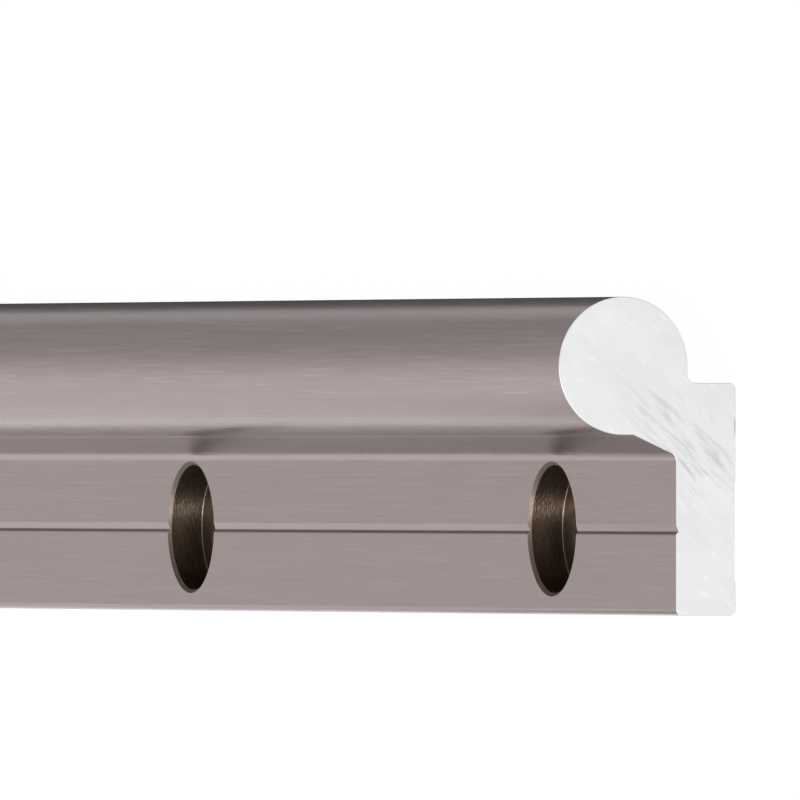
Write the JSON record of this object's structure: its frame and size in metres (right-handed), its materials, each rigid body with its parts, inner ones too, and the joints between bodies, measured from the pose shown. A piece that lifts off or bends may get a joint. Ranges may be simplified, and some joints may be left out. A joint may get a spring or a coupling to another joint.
{
  "type": "supported round rail",
  "caption": "Side-mounting linear rail: a round running surface on an arm that rises from a flat plate with counterbored fixing holes.",
  "frame": {"origin": "Middle of the rail's length and of its whole width, on the mounting face that it lies on", "axes": "+X along the rail, +Y across it from the plate's outer edge towards the round, +Z away from the mounting face, the side that the fixing screws enter"},
  "size_m": [0.32, 0.037, 0.022],
  "materials": {
    "hard_anodised_aluminium": "hard-anodised extrusion in a warm grey, satin with fine lengthwise die lines; sawn ends bare"
  },
  "bodies": {
    "root": {"rail": "hard_anodised_aluminium"}
  },
  "joints": []
}
